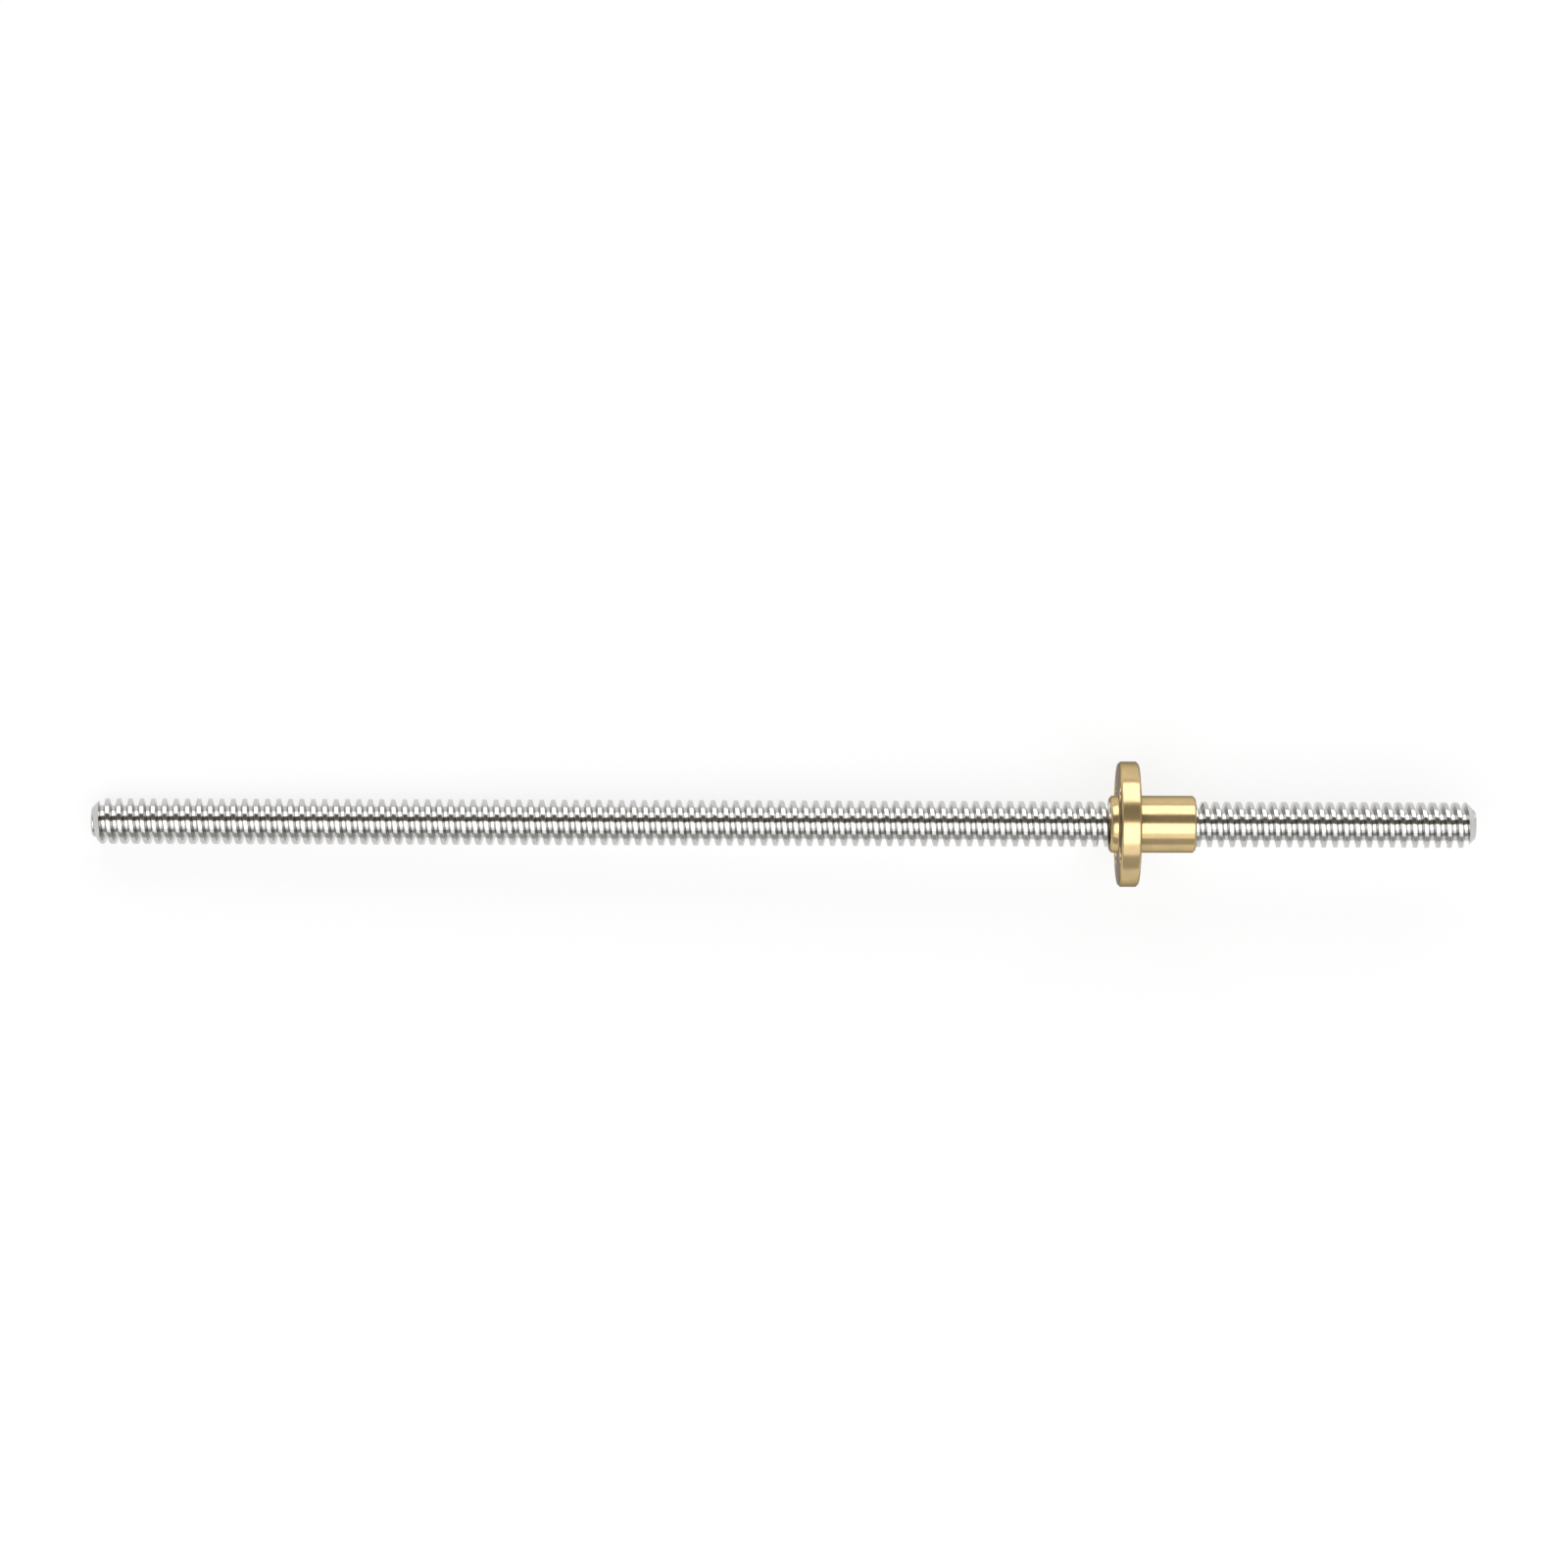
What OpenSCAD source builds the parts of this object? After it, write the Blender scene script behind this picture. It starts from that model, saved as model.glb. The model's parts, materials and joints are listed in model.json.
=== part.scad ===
// Trapezoidal lead screw with its flanged nut, lying as it comes to rest.
//
// The screw is a steel bar with one right-handed trapezoidal groove, cut to length and
// chamfered. The nut is turned from one piece of brass: a collar, a flange with four
// holes and a barrel. The screw lies along X with its nut towards +X. It touches the
// ground with its left end and with the rim of the flange, so its axis slopes a little.
// Distances along the axis are measured from the screw's left end face.

/* [Screw] */
// Length of the screw from end face to end face
screw_length = 242; // [200:2:280]
// Major diameter of the thread, over its crests
major_diameter = 8; // [7:0.5:10]
// Pitch of the thread, which is its lead too, because it has one start
pitch = 2; // [1.8:0.1:2.6]
// Gap between the crests of one thread and the roots of the other
root_clearance = 0.25; // [0.15:0.05:0.35]
// Angle of each flank from a plane square to the axis
flank_angle = 15; // [12:1:18]
// Flat facets in one turn of a flank
turn_facets = 10; // [8:1:11]
// Distance from the left end face to the groove's middle, underneath the axis
groove_start = 1.1; // [0.2:0.1:2]
// Chamfer at 45 degrees on each end
end_chamfer = 1.5; // [0.8:0.1:2]

/* [Nut] */
// Distance from the screw's left end face to the nut's collar
nut_start = 178; // [10:2:180]
// Length of the short collar on the flange's left side
collar_length = 1.5; // [1:0.25:3]
// Length of the barrel on the flange's right side
barrel_length = 10; // [6:0.5:16]
// Wall of the collar and the barrel, outside the root of the nut's thread
nut_wall = 0.75; // [0.6:0.05:1.1]
// Chamfer on the outer edge of the collar and the barrel
wall_chamfer = 0.4; // [0.2:0.05:0.5]

/* [Flange] */
// Diameter of the flange
flange_diameter = 22; // [21:0.5:30]
// Thickness of the flange
flange_thickness = 3.5; // [2.5:0.25:6]
// Chamfer on both edges of the flange's rim
rim_chamfer = 0.4; // [0.2:0.1:0.8]
// Number of holes in the flange
hole_count = 4; // [3:1:6]
// Diameter of each hole
hole_diameter = 3.5; // [2.5:0.1:3.8]
// Chamfer on both edges of each hole
hole_chamfer = 0.25; // [0.1:0.05:0.35]

/* [Hidden] */

// Number of sides of a round outline
round_sides = 96;
// How far a cutter reaches past what it cuts
cut_margin = 0.2;

// Trapezoidal thread: the crest is 0.366 of the pitch wide, and the flanks meet the root
crest_width = 0.366 * pitch;
thread_depth = pitch / 2 + root_clearance;
crest_r = major_diameter / 2;
root_r = crest_r - thread_depth;
end_face_r = crest_r - end_chamfer;

// The groove runs out past both ends of the bar
first_turn = -2;
last_turn = ceil(screw_length / pitch) + 1;
facet_angle = 360 / turn_facets;
facet_count = (last_turn - first_turn) * turn_facets;
// A facet's middle lies closer to the axis than its edges, by this share
facet_share = cos(facet_angle / 2);
cutter_outer_r = crest_r / facet_share + cut_margin;
cutter_inner_r = root_r - cut_margin;

// Nut: bore at the root of its own thread, and stations along the axis
bore_r = crest_r + root_clearance;
wall_r = bore_r + nut_wall;
flange_r = flange_diameter / 2;
flange_start = nut_start + collar_length;
flange_end = flange_start + flange_thickness;
nut_end = flange_end + barrel_length;
hole_r = hole_diameter / 2;

// The holes stand midway between the barrel and the rim
hole_circle_r = (wall_r + flange_r) / 2;

// Resting pose: the flange's rim and the crest at the left chamfer both touch the ground
rim_touch = flange_start + rim_chamfer;
rest_slope = atan((flange_r - crest_r) / (rim_touch - end_chamfer));
left_end_height = crest_r * cos(rest_slope) - end_chamfer * sin(rest_slope);

// Half the width of the groove at radius r
function groove_half(r) = (pitch - crest_width) / 2 - (crest_r - r) * tan(flank_angle);

// Half the width of the groove cutter at the edge of a facet that stands at radius r,
// taken at the facet's mean radius, so that the flat facets straddle the true flank
function cutter_half(r) = groove_half(r * (1 + facet_share) / 2);

// The four corners of the groove cutter at its facet edge number i
function cutter_ring(i) =
    let(angle = (i + 0.25) * facet_angle,
        middle = groove_start + pitch * (first_turn + angle / 360))
    [for (corner = [[cutter_inner_r, -1], [cutter_outer_r, -1],
                    [cutter_outer_r, 1], [cutter_inner_r, 1]])
        [corner[0] * cos(angle), corner[0] * sin(angle),
         middle + corner[1] * cutter_half(corner[0])]];

// Cutter of the helical groove, a trapezoid swept along the thread
module groove_sweep() {
    points = [for (i = [0 : facet_count]) each cutter_ring(i)];
    sides = [for (i = [0 : facet_count - 1], k = [0 : 3])
        let(a = 4 * i + k, b = 4 * i + (k + 1) % 4)
        each [[a, b, b + 4], [a, b + 4, a + 4]]];
    caps = [[3, 2, 1, 0], [for (k = [0 : 3]) 4 * facet_count + k]];
    polyhedron(points = points, faces = concat(sides, caps), convexity = 10);
}

// The groove cutter outside the thread's core, so that the root is truly round
module groove() {
    difference() {
        groove_sweep();
        translate([0, 0, (first_turn - 1) * pitch])
            cylinder(r = root_r, h = (last_turn - first_turn + 2) * pitch, $fn = round_sides);
    }
}

// Round bar with a chamfer at each end, before its thread is cut
module chamfered_bar() {
    rotate_extrude($fn = round_sides)
        polygon([[0, 0], [end_face_r, 0], [crest_r, end_chamfer],
                 [crest_r, screw_length - end_chamfer], [end_face_r, screw_length],
                 [0, screw_length]]);
}

// Body of the nut, turned in one piece, with its bore
module turned_nut() {
    rotate_extrude($fn = round_sides)
        polygon([[bore_r, nut_start], [wall_r - wall_chamfer, nut_start],
                 [wall_r, nut_start + wall_chamfer], [wall_r, flange_start],
                 [flange_r - rim_chamfer, flange_start], [flange_r, flange_start + rim_chamfer],
                 [flange_r, flange_end - rim_chamfer], [flange_r - rim_chamfer, flange_end],
                 [wall_r, flange_end], [wall_r, nut_end - wall_chamfer],
                 [wall_r - wall_chamfer, nut_end], [bore_r, nut_end]]);
}

// Cutter of one flange hole, wider at both faces for the chamfers
module hole_cutter() {
    rotate_extrude($fn = round_sides)
        polygon([[0, flange_start - cut_margin],
                 [hole_r + hole_chamfer + cut_margin, flange_start - cut_margin],
                 [hole_r, flange_start + hole_chamfer], [hole_r, flange_end - hole_chamfer],
                 [hole_r + hole_chamfer + cut_margin, flange_end + cut_margin],
                 [0, flange_end + cut_margin]]);
}

// Turns the screw's own axis from Z to X and lays it down on its left end and the flange
module at_rest() {
    translate([-screw_length * cos(rest_slope) / 2, 0, left_end_height])
        rotate([0, 90 - rest_slope, 0])
            children();
}

module screw() {
    color("silver")
        at_rest()
            difference() {
                chamfered_bar();
                groove();
            }
}

module nut() {
    color("goldenrod")
        at_rest()
            difference() {
                turned_nut();
                for (i = [0 : hole_count - 1])
                    rotate([0, 0, (i + 0.5) * 360 / hole_count])
                        translate([hole_circle_r, 0, 0])
                            hole_cutter();
            }
}

screw();
nut();
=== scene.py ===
"""Trapezoidal lead screw with its flanged brass nut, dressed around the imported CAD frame.

Sizes of the thread, the screw and the nut are millimetres, and those of the stage are metres.
Each piece is built with the screw's own axis along X and the middle of its left end face at the
origin, and Placement then lays it where the frame's mounts say that the axis is, in metres.
"""

import json
import logging
import math
from dataclasses import dataclass
from enum import Enum
from typing import ClassVar

import bmesh
import bpy
from mathutils import Matrix, Vector

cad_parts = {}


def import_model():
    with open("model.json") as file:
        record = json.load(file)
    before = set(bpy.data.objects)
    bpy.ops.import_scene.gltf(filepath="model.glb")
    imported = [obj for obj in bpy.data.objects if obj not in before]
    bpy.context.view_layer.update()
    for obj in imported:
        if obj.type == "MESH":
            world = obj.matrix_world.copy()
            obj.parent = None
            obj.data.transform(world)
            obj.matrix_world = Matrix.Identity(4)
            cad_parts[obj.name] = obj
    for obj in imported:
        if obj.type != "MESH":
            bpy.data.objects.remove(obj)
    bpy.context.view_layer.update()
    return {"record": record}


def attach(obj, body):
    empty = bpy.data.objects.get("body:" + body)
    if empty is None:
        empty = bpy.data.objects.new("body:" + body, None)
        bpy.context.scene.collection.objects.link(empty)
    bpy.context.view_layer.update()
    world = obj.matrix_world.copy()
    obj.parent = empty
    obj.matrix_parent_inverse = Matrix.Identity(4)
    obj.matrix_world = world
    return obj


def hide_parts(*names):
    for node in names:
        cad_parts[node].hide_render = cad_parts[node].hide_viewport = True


log = logging.getLogger("lead_screw")

# One millimetre, in metres
METRES = 0.001
# Width and height of the photograph, in pixels
FRAME_PIXELS = 1600.0
# Vertices closer than this are one, in millimetres: where a turned shape meets the axis or
# itself, and where one turn of the thread meets the next
TURNED_MERGE = 1e-4
TURN_MERGE = 1e-3
# How much more a large face counts than a small one in smooth shading, where 50 is evenly
FLAT_FACE_WEIGHT = 90
X_AXIS = Vector((1.0, 0.0, 0.0))
ORIGIN = Vector((0.0, 0.0, 0.0))


class Slot(Enum):
    """Material slots of the record."""

    STEEL = "steel"
    BRASS = "brass"


@dataclass(frozen=True)
class Placement:
    """Where the screw's axis lies in the frame, in metres.

    Attributes:
        left_end: Middle of the screw's left end face.
        along: Unit direction of the axis, from the left end to the right end.
        length: Distance between the end faces.
    """

    left_end: Vector
    along: Vector
    length: float

    @classmethod
    def from_record(cls, record: dict) -> "Placement":
        """Reads the axis from the mounts on the screw's two end faces.

        Args:
            record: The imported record.

        Returns:
            The placement of the screw's axis.
        """
        mounts = {mount["name"]: Vector(mount["pos_m"]) for mount in record["mounts"]}
        span = mounts["right_end"] - mounts["left_end"]
        return cls(mounts["left_end"], span.normalized(), span.length)

    @property
    def across(self) -> Vector:
        """Level direction square to the axis."""
        return Vector((0.0, 1.0, 0.0))

    @property
    def outward(self) -> Vector:
        """Direction square to the axis that points up."""
        return self.along.cross(self.across)

    def point(self, along: float, across: float = 0.0, outward: float = 0.0) -> Vector:
        """Gives a point in the frame.

        Args:
            along: Distance along the axis from the left end, in metres.
            across: Level distance off the axis.
            outward: Distance off the axis, upwards and square to it.

        Returns:
            The point.
        """
        off_axis = self.across * across + self.outward * outward
        return self.left_end + self.along * along + off_axis

    def matrix(self) -> Matrix:
        """Works out how a piece's own millimetres turn into the frame's metres.

        Returns:
            The transform.
        """
        turn = Matrix((self.along, self.across, self.outward)).transposed().to_4x4()
        return Matrix.Translation(self.left_end) @ turn @ Matrix.Scale(METRES, 4)


@dataclass(frozen=True)
class ThreadForm:
    """Trapezoidal thread with one start, in millimetres.

    Attributes:
        pitch: Distance from crest to crest, which is the lead too.
        major_r: Radius over the screw's crests.
        clearance: Gap from a crest to the other thread's root.
        backlash: Play between the two threads' flanks, along the axis.
        flank_angle: Angle of a flank from a plane square to the axis, in degrees.
        crest_share: Width of a crest, as a share of the pitch.
        crest_at: Distance from the left end face to a crest's middle, on the +Y side.
    """

    pitch: float = 2.0
    major_r: float = 4.0
    clearance: float = 0.25
    backlash: float = 0.1
    flank_angle: float = 15.0
    crest_share: float = 0.366
    crest_at: float = 0.6

    @property
    def root_r(self) -> float:
        """Radius of the screw's root."""
        return self.major_r - self.pitch / 2 - self.clearance

    @property
    def nut_root_r(self) -> float:
        """Radius of the root of the nut's thread."""
        return self.major_r + self.clearance

    @property
    def nut_crest_r(self) -> float:
        """Radius of the crest of the nut's thread."""
        return self.root_r + self.clearance

    def ridge_half(self, radius: float) -> float:
        """Gives half the width of the screw's ridge at a radius."""
        slope = math.tan(math.radians(self.flank_angle))
        return self.pitch * self.crest_share / 2 + (self.major_r - radius) * slope

    def nut_groove_half(self, radius: float) -> float:
        """Gives half the width of the nut's groove at a radius."""
        return self.ridge_half(radius) + self.backlash / 2


def mapped(
    tree: bpy.types.NodeTree,
    value: bpy.types.NodeSocket,
    source: tuple[float, float],
    target: tuple[float, float],
) -> bpy.types.NodeSocket:
    """Maps a value from one range to another, and holds it there.

    Args:
        tree: The material's node tree.
        value: The socket to map.
        source: The value's range.
        target: What the ends of that range become.

    Returns:
        The mapped value.
    """
    node = tree.nodes.new("ShaderNodeMapRange")
    node.inputs["From Min"].default_value, node.inputs["From Max"].default_value = source
    node.inputs["To Min"].default_value, node.inputs["To Max"].default_value = target
    tree.links.new(value, node.inputs["Value"])
    return node.outputs["Result"]


def combined(
    tree: bpy.types.NodeTree,
    operation: str,
    first: bpy.types.NodeSocket | float,
    second: bpy.types.NodeSocket | float,
    clamp: bool = False,
) -> bpy.types.NodeSocket:
    """Adds, subtracts or multiplies two values.

    Args:
        tree: The material's node tree.
        operation: ADD, SUBTRACT or MULTIPLY.
        first: A socket or a number.
        second: A socket or a number.
        clamp: Whether the result is held between 0 and 1.

    Returns:
        The result.
    """
    node = tree.nodes.new("ShaderNodeMath")
    node.operation = operation
    node.use_clamp = clamp
    for slot, value in zip(node.inputs, (first, second)):
        if isinstance(value, bpy.types.NodeSocket):
            tree.links.new(value, slot)
        else:
            slot.default_value = value
    return node.outputs["Value"]


@dataclass(frozen=True)
class TurnedMetal:
    """Finish of a bare metal piece that was turned or rolled round the screw's axis.

    Attributes:
        name: Name of the material.
        colour: Linear colour of the clean metal.
        tarnish: Linear colour where the metal has dulled.
        roughness: Roughness of the clean metal.
        dull_roughness: Roughness where the metal has dulled.
        marks_per_mm: Tool marks in one millimetre along the axis.
        mark_height: Height of the tool marks' bump, in metres.
        cloud_per_mm: Clouds of tarnish in one millimetre.
        cloud_share: How much of the tarnish shows, from 0 to 1.
        shade_low_r: Radius at and below which the painted shade darkens the metal, in
            millimetres.
        shade_high_r: Radius above which no painted shade shows, in millimetres.
        painted_shade: How much the painted shade close to the axis darkens the metal, from 0 to
            1.
        faced_dull: How much faces square to the axis are duller, from 0 to 1.
        edge_tint: Share of the gloss that is left at a grazing angle.
        metallic: How much of the surface is bare metal, from 0 to 1.
        FACED_SPAN: Cosines of a face's lean at which its dullness begins, and is full.
        CLOUD_SPAN: Noise levels at which the tarnish begins, and is full.
        STREAK_SPAN: Noise levels between the bottom and the top of a tool mark.
        STREAK_SHADE: Brightness at the bottom and at the top of a tool mark.
        MARK_ROUGHNESS: Roughness that the bottom of a tool mark gains and the top loses.
    """

    FACED_SPAN: ClassVar[tuple[float, float]] = (0.97, 0.999)
    CLOUD_SPAN: ClassVar[tuple[float, float]] = (0.42, 0.72)
    STREAK_SPAN: ClassVar[tuple[float, float]] = (0.3, 0.7)
    STREAK_SHADE: ClassVar[tuple[float, float]] = (0.92, 1.0)
    MARK_ROUGHNESS: ClassVar[float] = 0.04

    name: str
    colour: tuple[float, float, float]
    tarnish: tuple[float, float, float]
    roughness: float
    dull_roughness: float
    marks_per_mm: float
    mark_height: float
    cloud_per_mm: float
    cloud_share: float
    shade_low_r: float
    # Strength of the painted shade close to the axis
    shade_high_r: float
    painted_shade: float
    faced_dull: float
    edge_tint: float
    metallic: float

    def build(self, placement: Placement) -> bpy.types.Material:
        """Makes the node material, with its patterns laid along the screw's axis.

        Args:
            placement: Where the screw's axis lies.

        Returns:
            The new material.
        """
        material = bpy.data.materials.new(self.name)
        material.use_nodes = True
        tree = material.node_tree
        shader = tree.nodes["Principled BSDF"]
        shader.inputs["Metallic"].default_value = self.metallic
        shader.inputs["Specular Tint"].default_value = (self.edge_tint,) * 3 + (1.0,)

        axial, radial, place = self._axis_coordinates(tree, placement)
        marks = self._tool_marks(tree, axial, radial)
        clouds = self._clouds(tree, place, self._faced(tree, placement))
        # Painted shade: the metal darkens close to the axis, in the thread's root and the nut's
        # bore
        painted_shade = self._painted_shade(tree, radial)
        self._colour(tree, shader, clouds, marks, painted_shade)
        self._roughness(tree, shader, clouds, marks)
        self._bump(tree, shader, marks)
        return material

    def _axis_coordinates(
        self, tree: bpy.types.NodeTree, placement: Placement
    ) -> tuple[bpy.types.NodeSocket, bpy.types.NodeSocket, bpy.types.NodeSocket]:
        """Turns Object coordinates into millimetres along the axis and away from it.

        Args:
            tree: The material's node tree.
            placement: Where the screw's axis lies.

        Returns:
            Sockets with the distance along the axis, the radius and the turned vector.
        """
        slope = math.asin(placement.along.z)
        coordinates = tree.nodes.new("ShaderNodeTexCoord")
        mapping = tree.nodes.new("ShaderNodeMapping")
        mapping.vector_type = "TEXTURE"
        mapping.inputs["Location"].default_value = placement.left_end
        mapping.inputs["Rotation"].default_value = (0.0, -slope, 0.0)
        mapping.inputs["Scale"].default_value = (METRES, METRES, METRES)
        tree.links.new(coordinates.outputs["Object"], mapping.inputs["Vector"])
        split = tree.nodes.new("ShaderNodeSeparateXYZ")
        tree.links.new(mapping.outputs["Vector"], split.inputs[0])
        flat = tree.nodes.new("ShaderNodeCombineXYZ")
        tree.links.new(split.outputs["Y"], flat.inputs["Y"])
        tree.links.new(split.outputs["Z"], flat.inputs["Z"])
        length = tree.nodes.new("ShaderNodeVectorMath")
        length.operation = "LENGTH"
        tree.links.new(flat.outputs[0], length.inputs[0])
        return split.outputs["X"], length.outputs["Value"], mapping.outputs["Vector"]

    def _tool_marks(
        self,
        tree: bpy.types.NodeTree,
        axial: bpy.types.NodeSocket,
        radial: bpy.types.NodeSocket,
    ) -> bpy.types.NodeSocket:
        """Makes fine rings that run round the axis, on round and on flat faces alike.

        Args:
            tree: The material's node tree.
            axial: Distance along the axis, in millimetres.
            radial: Distance from the axis, in millimetres.

        Returns:
            Height of the rings, from 0 to 1.
        """
        rings = tree.nodes.new("ShaderNodeCombineXYZ")
        tree.links.new(axial, rings.inputs["X"])
        tree.links.new(radial, rings.inputs["Y"])
        noise = tree.nodes.new("ShaderNodeTexNoise")
        noise.noise_dimensions = "2D"
        noise.inputs["Scale"].default_value = self.marks_per_mm
        noise.inputs["Detail"].default_value = 3.0
        noise.inputs["Roughness"].default_value = 0.65
        tree.links.new(rings.outputs[0], noise.inputs["Vector"])
        return noise.outputs["Fac"]

    def _faced(
        self, tree: bpy.types.NodeTree, placement: Placement
    ) -> bpy.types.NodeSocket:
        """Finds the faces that stand square to the axis, which keep a duller finish.

        Args:
            tree: The material's node tree.
            placement: Where the screw's axis lies.

        Returns:
            How dull the face is, from 0 to 1.
        """
        coordinates = tree.nodes.new("ShaderNodeTexCoord")
        along = tree.nodes.new("ShaderNodeVectorMath")
        along.operation = "DOT_PRODUCT"
        along.inputs[1].default_value = placement.along
        tree.links.new(coordinates.outputs["Normal"], along.inputs[0])
        size = tree.nodes.new("ShaderNodeMath")
        size.operation = "ABSOLUTE"
        tree.links.new(along.outputs["Value"], size.inputs[0])
        return mapped(tree, size.outputs["Value"], self.FACED_SPAN, (0.0, self.faced_dull))

    def _clouds(
        self,
        tree: bpy.types.NodeTree,
        place: bpy.types.NodeSocket,
        faced: bpy.types.NodeSocket,
    ) -> bpy.types.NodeSocket:
        """Makes soft clouds where the metal has dulled, on top of its dull faces.

        Args:
            tree: The material's node tree.
            place: Place in the screw's own millimetres.
            faced: How dull the face is as a whole.

        Returns:
            How dull the metal is at each place, from 0 to 1.
        """
        noise = tree.nodes.new("ShaderNodeTexNoise")
        noise.inputs["Scale"].default_value = self.cloud_per_mm
        noise.inputs["Detail"].default_value = 5.0
        noise.inputs["Roughness"].default_value = 0.6
        tree.links.new(place, noise.inputs["Vector"])
        spread = mapped(tree, noise.outputs["Fac"], self.CLOUD_SPAN, (0.0, self.cloud_share))
        return combined(tree, "ADD", spread, faced, clamp=True)

    def _painted_shade(
        self, tree: bpy.types.NodeTree, radial: bpy.types.NodeSocket
    ) -> bpy.types.NodeSocket:
        """Makes painted shade close to the axis, such as in the thread's root and the nut's
        bore.

        Args:
            tree: The material's node tree.
            radial: Distance from the axis, in millimetres.

        Returns:
            How much the painted shade darkens the metal, from 0 to 1.
        """
        return mapped(tree, radial, (self.shade_low_r, self.shade_high_r), (self.painted_shade, 0.0))

    def _colour(
        self,
        tree: bpy.types.NodeTree,
        shader: bpy.types.Node,
        clouds: bpy.types.NodeSocket,
        marks: bpy.types.NodeSocket,
        painted_shade: bpy.types.NodeSocket,
    ) -> None:
        """Mixes the clean metal with its tarnish and tool marks, and darkens it with painted
        shade.

        Args:
            tree: The material's node tree.
            shader: The shader that takes the colour.
            clouds: How dull the metal is.
            marks: Height of the tool marks.
            painted_shade: How much the painted shade darkens it.
        """
        dull = tree.nodes.new("ShaderNodeMix")
        dull.data_type = "RGBA"
        dull.inputs["A"].default_value = (*self.colour, 1.0)
        dull.inputs["B"].default_value = (*self.tarnish, 1.0)
        tree.links.new(clouds, dull.inputs["Factor"])
        streak = mapped(tree, marks, self.STREAK_SPAN, self.STREAK_SHADE)
        # Painted shade darkens the colour close to the axis
        level = combined(tree, "MULTIPLY", streak, combined(tree, "SUBTRACT", 1.0, painted_shade))
        shade = tree.nodes.new("ShaderNodeVectorMath")
        shade.operation = "SCALE"
        tree.links.new(dull.outputs["Result"], shade.inputs[0])
        tree.links.new(level, shade.inputs["Scale"])
        tree.links.new(shade.outputs["Vector"], shader.inputs["Base Color"])

    def _roughness(
        self,
        tree: bpy.types.NodeTree,
        shader: bpy.types.Node,
        clouds: bpy.types.NodeSocket,
        marks: bpy.types.NodeSocket,
    ) -> None:
        """Makes the metal rougher where it has dulled, and in the bottom of its marks.

        Args:
            tree: The material's node tree.
            shader: The shader that takes the roughness.
            clouds: How dull the metal is.
            marks: Height of the tool marks.
        """
        whole = (0.0, 1.0)
        worn = mapped(tree, clouds, whole, (self.roughness, self.dull_roughness))
        uneven = mapped(tree, marks, whole, (self.MARK_ROUGHNESS, -self.MARK_ROUGHNESS))
        total = combined(tree, "ADD", worn, uneven)
        tree.links.new(total, shader.inputs["Roughness"])

    def _bump(
        self,
        tree: bpy.types.NodeTree,
        shader: bpy.types.Node,
        marks: bpy.types.NodeSocket,
    ) -> None:
        """Raises the tool marks.

        Args:
            tree: The material's node tree.
            shader: The shader that takes the bump.
            marks: Height of the tool marks.
        """
        bump = tree.nodes.new("ShaderNodeBump")
        bump.inputs["Strength"].default_value = 1.0
        bump.inputs["Distance"].default_value = self.mark_height
        tree.links.new(marks, bump.inputs["Height"])
        tree.links.new(bump.outputs["Normal"], shader.inputs["Normal"])


def link_mesh(shape: bmesh.types.BMesh, name: str) -> bpy.types.Object:
    """Makes an object of a bmesh, links it to the scene and frees the bmesh.

    Args:
        shape: The bmesh.
        name: Name of the object and its mesh.

    Returns:
        The object.
    """
    mesh = bpy.data.meshes.new(name)
    shape.to_mesh(mesh)
    shape.free()
    piece = bpy.data.objects.new(name, mesh)
    bpy.context.scene.collection.objects.link(piece)
    return piece


def matt(name: str, colour: tuple[float, float, float]) -> bpy.types.Material:
    """Makes a plain material with no gloss, for what isn't part of the object.

    Args:
        name: Name of the material.
        colour: Its linear colour.

    Returns:
        The new material.
    """
    material = bpy.data.materials.new(name)
    material.use_nodes = True
    shader = material.node_tree.nodes["Principled BSDF"]
    shader.inputs["Base Color"].default_value = (*colour, 1.0)
    shader.inputs["Roughness"].default_value = 1.0
    shader.inputs["Specular IOR Level"].default_value = 0.0
    return material


@dataclass(frozen=True)
class PaleFloor:
    """Plain white floor under the object, with a faint shadow.

    Attributes:
        size: Side of the floor, in metres.
        colour: Linear colour of the floor.
        glow: Share of even white that the camera, metal and glass see over the lit floor.
    """

    size: float = 30.0
    colour: tuple[float, float, float] = (0.86, 0.86, 0.86)
    glow: float = 0.8

    def build(self) -> bpy.types.Object:
        """Returns:
            The floor.
        """
        shape = bmesh.new()
        bmesh.ops.create_grid(shape, x_segments=1, y_segments=1, size=self.size / 2)
        floor = link_mesh(shape, "floor")
        material = matt("pale_floor", self.colour)
        self._add_glow(material.node_tree)
        floor.data.materials.append(material)
        return floor

    def _add_glow(self, tree: bpy.types.NodeTree) -> None:
        """Mixes even white over the floor for the camera, and for metal and glass.

        Args:
            tree: The floor material's node tree.
        """
        path = tree.nodes.new("ShaderNodeLightPath")
        seen = path.outputs["Is Camera Ray"]
        for kind in ("Is Glossy Ray", "Is Transmission Ray"):
            seen = combined(tree, "ADD", seen, path.outputs[kind], clamp=True)
        white = tree.nodes.new("ShaderNodeEmission")
        blend = tree.nodes.new("ShaderNodeMixShader")
        tree.links.new(combined(tree, "MULTIPLY", seen, self.glow), blend.inputs["Fac"])
        tree.links.new(tree.nodes["Principled BSDF"].outputs["BSDF"], blend.inputs[1])
        tree.links.new(white.outputs["Emission"], blend.inputs[2])
        tree.links.new(blend.outputs["Shader"], tree.nodes["Material Output"].inputs["Surface"])


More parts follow.
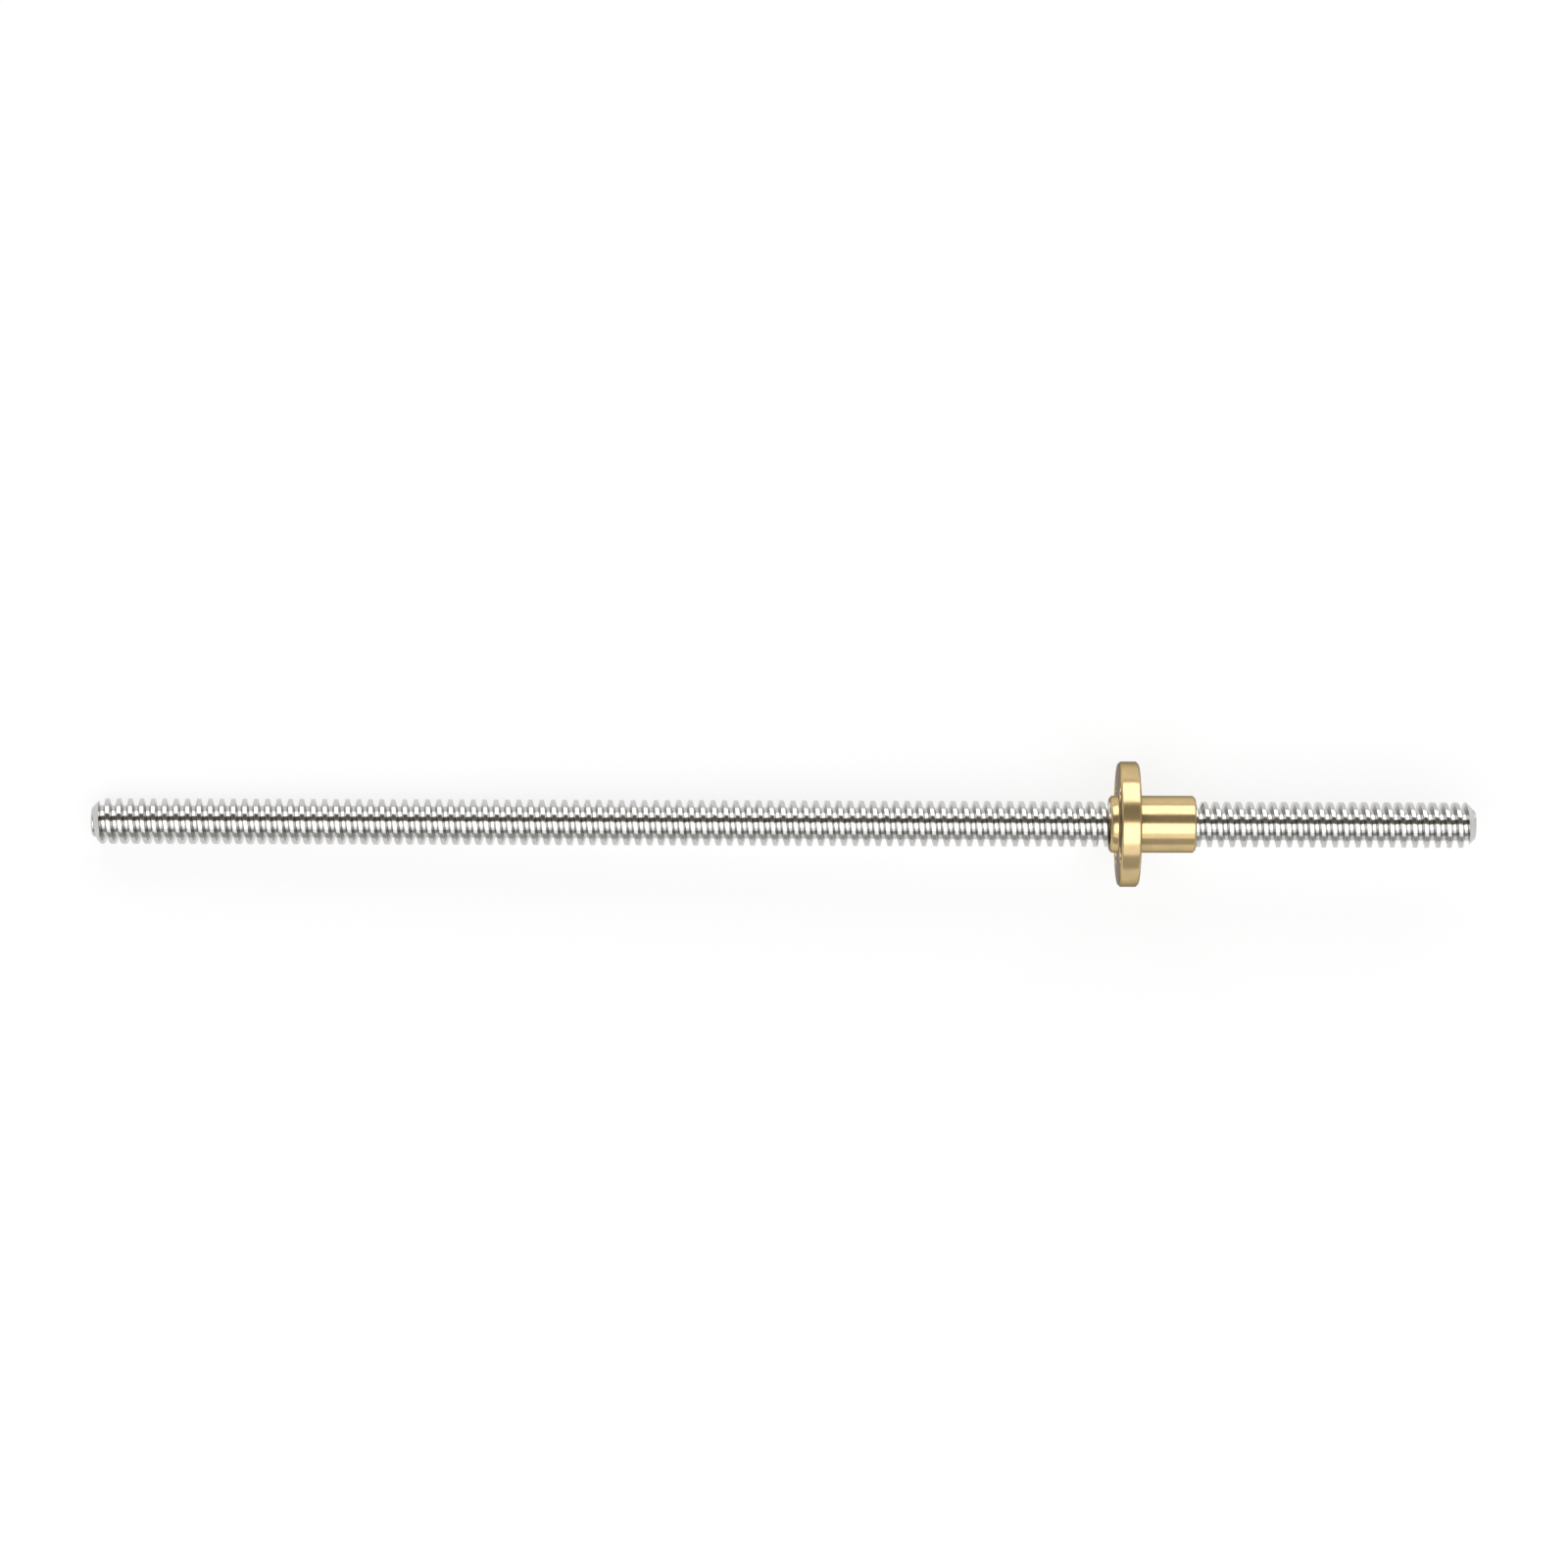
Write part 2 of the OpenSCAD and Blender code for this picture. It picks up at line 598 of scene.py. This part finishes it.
@dataclass(frozen=True)
class SoftStrip:
    """Long soft lamp beside the camera, seen by the round metal as one bright band.

    Attributes:
        name: Name of the lamp.
        low_angle: Angle of one long edge from the upright, towards +Y, in degrees.
        high_angle: Angle of the other long edge.
        radiance: Light level of the lamp's face, where 1 is white.
        distance: Distance from the object, in metres.
        length: Length along the screw, in metres.
    """

    name: str
    low_angle: float
    high_angle: float
    radiance: float
    distance: float = 1.0
    length: float = 1.4

    def build(self, target: Vector) -> bpy.types.Object:
        """Hangs the lamp so that it faces the target.

        Args:
            target: Point that the lamp's angles are measured from.

        Returns:
            The lamp.
        """
        middle = math.radians((self.low_angle + self.high_angle) / 2)
        half = math.radians((self.high_angle - self.low_angle) / 2)
        width = 2 * self.distance * math.tan(half)
        data = bpy.data.lights.new(self.name, "AREA")
        data.shape = "RECTANGLE"
        data.size = self.length
        data.size_y = width
        data.energy = self.radiance * math.pi * self.length * width
        lamp = bpy.data.objects.new(self.name, data)
        lamp.location = target + self.distance * Vector((0, math.sin(middle), math.cos(middle)))
        lamp.rotation_euler = (-middle, 0.0, 0.0)
        lamp.visible_camera = False
        bpy.context.scene.collection.objects.link(lamp)
        return lamp


@dataclass(frozen=True)
class DarkBoard:
    """Level dark board above the camera, seen by the round metal as one dark line.

    Attributes:
        low_angle: Angle of one long edge from the upright, towards +Y, in degrees.
        high_angle: Angle of the other long edge.
        colour: Linear colour of the board.
        height: Height over the object, in metres.
        length: Length along the screw, in metres.
    """

    low_angle: float = 3.5
    high_angle: float = 41.5
    colour: tuple[float, float, float] = (0.16, 0.133, 0.10)
    height: float = 1.1
    length: float = 2.4

    def build(self, target: Vector) -> bpy.types.Object:
        """Args:
            target: Point that the board's angles are measured from.

        Returns:
            The board.
        """
        low, high = (
            self.height * math.tan(math.radians(angle))
            for angle in (self.low_angle, self.high_angle)
        )
        shape = bmesh.new()
        bmesh.ops.create_grid(shape, x_segments=1, y_segments=1, size=0.5)
        bmesh.ops.scale(shape, vec=(self.length, high - low, 1.0), verts=shape.verts)
        board = link_mesh(shape, "dark_board")
        board.location = target + Vector((0.0, (low + high) / 2, self.height))
        board.visible_camera = False
        board.data.materials.append(matt("dark_board", self.colour))
        return board


@dataclass(frozen=True)
class Studio:
    """Plain soft studio round the object.

    Attributes:
        ambient: Grey level of the room that the metal sees between the lamps.
        strips: The soft lamps.
        board: The dark board.
        floor: The floor.
    """

    ambient: float = 0.42
    strips: tuple[SoftStrip, ...] = (
        SoftStrip("back_strip", 42.0, 82.0, 2.5),
        SoftStrip("front_strip", -36.0, 3.0, 2.5),
        SoftStrip("low_front_strip", -58.0, -36.5, 1.0),
    )
    board: DarkBoard = DarkBoard()
    floor: PaleFloor = PaleFloor()

    def build(self, target: Vector) -> None:
        """Makes the room's light, the lamps, the board and the floor.

        Args:
            target: Point that the lamps face.
        """
        world = bpy.data.worlds.new("room")
        world.use_nodes = True
        room = world.node_tree.nodes["Background"]
        room.inputs["Color"].default_value = (self.ambient,) * 3 + (1.0,)
        room.inputs["Strength"].default_value = 1.0
        scene = bpy.context.scene
        scene.world = world
        scene.view_settings.view_transform = "Standard"
        for strip in self.strips:
            strip.build(target)
        self.board.build(target)
        self.floor.build()


@dataclass(frozen=True)
class OverheadCamera:
    """Camera of the photograph: straight above the screw, which lies almost level in it.

    Attributes:
        distance: Distance from the axis, in metres.
        pixels_per_mm: Pixels of the photograph for one millimetre at the axis.
        left_end_x: Pixel column of the screw's left end face, measured at the axis.
        axis_y: Pixel row of the screw's axis in the middle of the frame.
        roll: Turn of the camera that lowers the screw's right end in the picture, in degrees.
        sensor: Width of the sensor, in millimetres.
    """

    distance: float = 0.83
    pixels_per_mm: float = 5.825
    left_end_x: float = 95.0
    axis_y: float = 839.9
    roll: float = 0.18
    sensor: float = 36.0

    def build(self, placement: Placement) -> bpy.types.Object:
        """Places the camera and makes it the scene's.

        Args:
            placement: Where the screw's axis lies.

        Returns:
            The camera.
        """
        middle = FRAME_PIXELS / 2
        along = (middle - self.left_end_x) / self.pixels_per_mm * METRES
        across = (self.axis_y - middle) / self.pixels_per_mm * METRES
        frame_width = FRAME_PIXELS / self.pixels_per_mm * METRES
        data = bpy.data.cameras.new("overhead_camera")
        data.sensor_width = self.sensor
        data.lens = self.sensor * self.distance / frame_width
        data.clip_start = 0.01
        data.clip_end = 50.0
        camera = bpy.data.objects.new("overhead_camera", data)
        turn = Matrix((placement.along, placement.across, placement.outward)).transposed()
        place = placement.point(along, across, self.distance)
        roll = Matrix.Rotation(math.radians(self.roll), 4, "Z")
        camera.matrix_world = Matrix.Translation(place) @ turn.to_4x4() @ roll
        bpy.context.scene.collection.objects.link(camera)
        bpy.context.scene.camera = camera
        return camera


def apply_modifiers(piece: bpy.types.Object) -> None:
    """Turns a piece's live modifiers into its mesh.

    Args:
        piece: The piece.
    """
    graph = bpy.context.evaluated_depsgraph_get()
    result = bpy.data.meshes.new_from_object(piece.evaluated_get(graph))
    piece.modifiers.clear()
    old = piece.data
    piece.data = result
    bpy.data.meshes.remove(old)
    result.name = piece.name


def cut(piece: bpy.types.Object, tool: bpy.types.Object, operation: str) -> None:
    """Applies an exact Boolean to a piece and removes the tool.

    Args:
        piece: The piece whose mesh changes.
        tool: The cutter.
        operation: INTERSECT or DIFFERENCE.
    """
    modifier = piece.modifiers.new("cut", "BOOLEAN")
    modifier.operation = operation
    modifier.solver = "EXACT"
    modifier.object = tool
    apply_modifiers(piece)
    bpy.data.objects.remove(tool, do_unlink=True)


def polyline(
    shape: bmesh.types.BMesh, points: list[tuple[float, float]], closed: bool
) -> list[bmesh.types.BMVert | bmesh.types.BMEdge]:
    """Draws a half section of a turned shape in the plane of X and Y.

    Args:
        shape: The bmesh to draw in.
        points: Distance along the axis and radius of each corner.
        closed: Whether the last corner joins the first.

    Returns:
        The new vertices and edges.
    """
    corners = [shape.verts.new((along, radius, 0.0)) for along, radius in points]
    pairs = list(zip(corners, corners[1:]))
    if closed:
        pairs.append((corners[-1], corners[0]))
    return corners + [shape.edges.new(pair) for pair in pairs]


def turned(points: list[tuple[float, float]], closed: bool, steps: int) -> bmesh.types.BMesh:
    """Spins a half section round the X axis into a closed solid.

    Args:
        points: Distance along the axis and radius of each corner.
        closed: Whether the section is a loop clear of the axis; an open one ends on it.
        steps: Number of steps in the full turn.

    Returns:
        The solid.
    """
    shape = bmesh.new()
    bmesh.ops.spin(
        shape, geom=polyline(shape, points, closed), cent=ORIGIN, axis=X_AXIS,
        angle=math.tau, steps=steps, use_merge=True,
    )
    bmesh.ops.remove_doubles(shape, verts=shape.verts, dist=TURNED_MERGE)
    bmesh.ops.recalc_face_normals(shape, faces=shape.faces)
    return shape


def soften(piece: bpy.types.Object, sharp_angle: float) -> None:
    """Shades a piece smooth, with its real edges sharp and its flats flat.

    Args:
        piece: The piece.
        sharp_angle: Edges that turn more than this many degrees stay sharp.
    """
    shape = bmesh.new()
    shape.from_mesh(piece.data)
    for face in shape.faces:
        face.smooth = True
    for edge in shape.edges:
        edge.smooth = edge.calc_face_angle(0.0) < math.radians(sharp_angle)
    shape.to_mesh(piece.data)
    shape.free()
    weighting = piece.modifiers.new("flat_faces", "WEIGHTED_NORMAL")
    weighting.keep_sharp = True
    weighting.weight = FLAT_FACE_WEIGHT


@dataclass(frozen=True)
class ThreadedScrew:
    """The steel screw, with its thread rolled over the whole length.

    Attributes:
        length: Length from end face to end face.
        thread: Form of its thread.
        end_chamfer: Chamfer at 45 degrees on each end.
        edge_r: Radius on the thread's crest edges and root corners.
        turn_steps: Steps in one turn of the helix.
        bar_steps: Steps round the cutter that trims the ends.
        edge_steps: Segments in the arc of a rounded edge.
        sharp_angle: Edges that turn more than this many degrees stay sharp.
    """

    length: float
    thread: ThreadForm
    end_chamfer: float = 1.5
    edge_r: float = 0.1
    turn_steps: int = 48
    bar_steps: int = 96
    edge_steps: int = 2
    sharp_angle: float = 40.0

    def rounded_ridge(self) -> list[tuple[float, float]]:
        """Works out the section of one ridge, from groove middle to groove middle.

        Returns:
            Distance along the axis from the crest's middle, and radius, of each point.
        """
        form = self.thread
        turn = math.radians(90.0 - form.flank_angle)
        setback = self.edge_r * math.tan(turn / 2)
        crest_half = form.ridge_half(form.major_r)
        root_half = form.ridge_half(form.root_r)
        half = [(0.0, form.major_r)]
        for step in range(self.edge_steps + 1):
            angle = turn * step / self.edge_steps
            half.append((
                crest_half - setback + self.edge_r * math.sin(angle),
                form.major_r - self.edge_r * (1.0 - math.cos(angle)),
            ))
        for step in range(self.edge_steps, -1, -1):
            angle = turn * step / self.edge_steps
            half.append((
                root_half + setback - self.edge_r * math.sin(angle),
                form.root_r + self.edge_r * (1.0 - math.cos(angle)),
            ))
        half.append((form.pitch / 2, form.root_r))
        left = [(-along, radius) for along, radius in reversed(half[1:])]
        return left + half

    def one_turn(self, start: float) -> bpy.types.Object:
        """Sweeps the ridge through one turn of its helix.

        Args:
            start: Distance from the left end face to the first crest's middle.

        Returns:
            The open turn.
        """
        advance = X_AXIS * self.thread.pitch / self.turn_steps
        section = [(start + along, radius) for along, radius in self.rounded_ridge()]
        shape = bmesh.new()
        bmesh.ops.spin(
            shape, geom=polyline(shape, section, closed=False), cent=ORIGIN, axis=X_AXIS,
            dvec=advance, angle=math.tau, steps=self.turn_steps,
        )
        return link_mesh(shape, "threaded_screw")

    def threaded_bar(self) -> bpy.types.Object:
        """Stacks turns of the thread from past one end to past the other, and closes them.

        Returns:
            The closed thread, longer than the screw.
        """
        form = self.thread
        spare_turns = 2
        turns = math.ceil(self.length / form.pitch) + 2 * spare_turns
        start = form.crest_at - spare_turns * form.pitch
        piece = self.one_turn(start)
        stack = piece.modifiers.new("turns", "ARRAY")
        stack.count = turns
        stack.use_relative_offset = False
        stack.use_constant_offset = True
        stack.constant_offset_displace = X_AXIS * form.pitch
        stack.use_merge_vertices = True
        stack.merge_threshold = TURN_MERGE
        apply_modifiers(piece)

        shape = bmesh.new()
        shape.from_mesh(piece.data)
        middle = start + turns * form.pitch / 2
        self.close_end(shape, start - form.pitch, below=middle)
        self.close_end(shape, 2 * middle - start + form.pitch, below=None)
        bmesh.ops.recalc_face_normals(shape, faces=shape.faces)
        shape.to_mesh(piece.data)
        shape.free()
        return piece

    def close_end(self, shape: bmesh.types.BMesh, tip: float, below: float | None) -> None:
        """Closes one open end of the thread with a cone to a point on the axis.

        Args:
            shape: The open thread.
            tip: Distance of the cone's point along the axis.
            below: The rim's edges lie below this distance, or any distance if None.
        """
        rim = [
            edge for edge in shape.edges
            if edge.is_boundary and (below is None or edge.verts[0].co.x < below)
        ]
        grown = bmesh.ops.extrude_edge_only(shape, edges=rim)["geom"]
        tips = [item for item in grown if isinstance(item, bmesh.types.BMVert)]
        bmesh.ops.pointmerge(shape, verts=tips, merge_co=(tip, 0.0, 0.0))

    def trimmer(self) -> bmesh.types.BMesh:
        """Turns the chamfered outline that the thread is trimmed to, wider than its crests.

        Returns:
            The solid that holds all that stays of the thread.
        """
        margin = 0.4
        outer = self.thread.major_r + margin
        face = self.thread.major_r - self.end_chamfer
        slope_end = self.end_chamfer + margin
        return turned([
            (0.0, 0.0), (0.0, face), (slope_end, outer), (self.length - slope_end, outer),
            (self.length, face), (self.length, 0.0),
        ], closed=False, steps=self.bar_steps)

    def build(self, placement: Placement, finish: bpy.types.Material) -> bpy.types.Object:
        """Makes the screw, lays it in place and puts it on its body.

        Args:
            placement: Where the screw's axis lies.
            finish: Its material.

        Returns:
            The finished piece.
        """
        piece = self.threaded_bar()
        cut(piece, link_mesh(self.trimmer(), "screw_trimmer"), "INTERSECT")
        piece.data.transform(placement.matrix())
        soften(piece, self.sharp_angle)
        piece.data.materials.clear()
        piece.data.materials.append(finish)
        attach(piece, "screw")
        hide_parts("screw")
        return piece


@dataclass(frozen=True)
class FlangedNut:
    """The brass nut, turned from one piece, with four holes and its thread.

    Attributes:
        thread: Form of the thread.
        start: Distance from the screw's left end face to the collar.
        collar_length: Length of the collar.
        flange_thickness: Thickness of the flange.
        barrel_length: Length of the barrel.
        wall: Wall outside the thread's root.
        flange_r: Radius of the flange.
        edge: Chamfer on the outer edges.
        corner_r: Radius in the corners between the flange and the barrel or collar.
        corner_steps: Steps in that radius.
        countersink: Chamfer at both mouths of the bore, past the thread's root.
        hole_count: Number of holes in the flange.
        hole_r: Radius of each hole.
        hole_circle_r: Radius of the circle of the holes' middles.
        hole_edge: Chamfer on the holes' edges.
        round_steps: Steps round the nut.
        hole_steps: Steps round a hole.
        turn_steps: Steps in one turn of the thread.
        sharp_angle: Edges that turn more than this many degrees stay sharp.
    """

    thread: ThreadForm
    start: float = 178.0
    collar_length: float = 1.5
    flange_thickness: float = 3.5
    barrel_length: float = 10.0
    wall: float = 0.75
    flange_r: float = 11.0
    edge: float = 0.4
    corner_r: float = 0.2
    corner_steps: int = 3
    countersink: float = 0.15
    hole_count: int = 4
    hole_r: float = 1.75
    hole_circle_r: float = 8.0
    hole_edge: float = 0.25
    round_steps: int = 160
    hole_steps: int = 48
    turn_steps: int = 48
    sharp_angle: float = 50.0

    @property
    def flange_start(self) -> float:
        """Distance of the flange's left face along the axis."""
        return self.start + self.collar_length

    @property
    def flange_end(self) -> float:
        """Distance of the flange's right face along the axis."""
        return self.flange_start + self.flange_thickness

    @property
    def end(self) -> float:
        """Distance of the barrel's end face along the axis."""
        return self.flange_end + self.barrel_length

    def section(self) -> list[tuple[float, float]]:
        """Works out the half section of the nut before its thread is cut.

        Returns:
            Distance along the axis and radius of each corner.
        """
        low, high, end = self.flange_start, self.flange_end, self.end
        outer = self.thread.nut_root_r + self.wall
        bore = self.thread.nut_crest_r
        mouth = self.thread.nut_root_r + self.countersink
        sink = mouth - bore
        return [
            (self.start + sink, bore), (self.start, mouth),
            (self.start, outer - self.edge), (self.start + self.edge, outer),
            *self.inner_corner(low, outer, -1.0),
            (low, self.flange_r - self.edge), (low + self.edge, self.flange_r),
            (high - self.edge, self.flange_r), (high, self.flange_r - self.edge),
            *reversed(self.inner_corner(high, outer, 1.0)),
            (end - self.edge, outer), (end, outer - self.edge),
            (end, mouth), (end - sink, bore),
        ]

    def inner_corner(self, face: float, outer: float, side: float) -> list[tuple[float, float]]:
        """Rounds the corner between the barrel or collar and the flange.

        Args:
            face: Distance of the flange's face along the axis.
            outer: Radius of the barrel or collar.
            side: 1 on the barrel's side of the flange, -1 on the collar's.

        Returns:
            Points from the barrel or collar to the flange's face.
        """
        points = []
        for step in range(self.corner_steps + 1):
            angle = math.pi / 2 * step / self.corner_steps
            points.append((
                face + side * self.corner_r * (1.0 - math.sin(angle)),
                outer + self.corner_r * (1.0 - math.cos(angle)),
            ))
        return points

    def thread_cutter(self) -> bmesh.types.BMesh:
        """Sweeps the groove of the nut's thread along its helix, past both faces.

        Returns:
            The closed cutter.
        """
        form = self.thread
        margin = 0.3
        inner_r = form.nut_crest_r - margin
        outer_r = form.nut_root_r
        spare_turns = 1
        first = math.floor((self.start - form.crest_at) / form.pitch) - spare_turns
        turns = math.ceil((self.end - self.start) / form.pitch) + 1 + 2 * spare_turns
        middle = form.crest_at + first * form.pitch
        section = [
            (middle + side * form.nut_groove_half(radius), radius)
            for side, radius in ((-1, inner_r), (-1, outer_r), (1, outer_r), (1, inner_r))
        ]
        shape = bmesh.new()
        corners = polyline(shape, section, closed=True)
        bmesh.ops.spin(
            shape, geom=corners, cent=ORIGIN, axis=X_AXIS,
            dvec=X_AXIS * form.pitch / self.turn_steps,
            angle=math.tau * turns, steps=turns * self.turn_steps,
        )
        rims = [edge for edge in shape.edges if edge.is_boundary]
        bmesh.ops.holes_fill(shape, edges=rims, sides=len(section))
        bmesh.ops.recalc_face_normals(shape, faces=shape.faces)
        return shape

    def hole_drill(self, number: int) -> bmesh.types.BMesh:
        """Makes the drill of one flange hole, wider past both faces for the chamfers.

        Args:
            number: Which hole, from 0.

        Returns:
            The drill.
        """
        low, high = self.flange_start, self.flange_end
        margin = 0.2
        wide = self.hole_r + self.hole_edge + margin
        shape = turned([
            (low - margin, 0.0), (low - margin, wide), (low + self.hole_edge, self.hole_r),
            (high - self.hole_edge, self.hole_r), (high + margin, wide), (high + margin, 0.0),
        ], closed=False, steps=self.hole_steps)
        turn = Matrix.Rotation(math.tau * (number + 0.5) / self.hole_count, 4, "X")
        reach = Matrix.Translation((0.0, self.hole_circle_r, 0.0))
        bmesh.ops.transform(shape, matrix=turn @ reach, verts=shape.verts)
        return shape

    def build(self, placement: Placement, finish: bpy.types.Material) -> bpy.types.Object:
        """Makes the nut, lays it in place and puts it on its body.

        Args:
            placement: Where the screw's axis lies.
            finish: Its material.

        Returns:
            The finished piece.
        """
        blank = turned(self.section(), closed=True, steps=self.round_steps)
        piece = link_mesh(blank, "flanged_nut")
        cut(piece, link_mesh(self.thread_cutter(), "thread_cutter"), "DIFFERENCE")
        for number in range(self.hole_count):
            cut(piece, link_mesh(self.hole_drill(number), "hole_drill"), "DIFFERENCE")
        piece.data.transform(placement.matrix())
        soften(piece, self.sharp_angle)
        piece.data.materials.clear()
        piece.data.materials.append(finish)
        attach(piece, "nut")
        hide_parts("nut")
        return piece


STEEL_FINISH = TurnedMetal(
    name="rolled_steel",
    colour=(0.60, 0.595, 0.58),
    tarnish=(0.46, 0.45, 0.43),
    roughness=0.16,
    dull_roughness=0.28,
    marks_per_mm=9.0,
    mark_height=2e-6,
    cloud_per_mm=0.35,
    cloud_share=0.5,
    shade_low_r=2.75,
    shade_high_r=3.2,
    # Painted shade in the thread's root
    painted_shade=0.04,
    faced_dull=0.4,
    edge_tint=1.0,
    metallic=1.0,
)

BRASS_FINISH = TurnedMetal(
    name="turned_brass",
    colour=(0.65, 0.49, 0.25),
    tarnish=(0.42, 0.33, 0.21),
    roughness=0.17,
    dull_roughness=0.34,
    marks_per_mm=7.0,
    mark_height=2e-6,
    cloud_per_mm=0.3,
    cloud_share=0.35,
    shade_low_r=3.0,
    shade_high_r=4.4,
    # Painted shade in the nut's bore and its thread
    painted_shade=0.3,
    faced_dull=0.8,
    edge_tint=0.2,
    metallic=0.85,
)


def main() -> None:
    """Loads the frame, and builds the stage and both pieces."""
    logging.basicConfig(level=logging.INFO, format="%(name)s: %(message)s")
    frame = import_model()
    placement = Placement.from_record(frame["record"])
    thread = ThreadForm()

    OverheadCamera().build(placement)
    Studio().build(placement.point(placement.length / 2))

    steel = STEEL_FINISH.build(placement)
    brass = BRASS_FINISH.build(placement)
    pieces = (
        ThreadedScrew(placement.length / METRES, thread).build(placement, steel),
        FlangedNut(thread).build(placement, brass),
    )
    for piece in pieces:
        log.info("%s has %d faces", piece.name, len(piece.data.polygons))


if __name__ == "__main__":
    main()
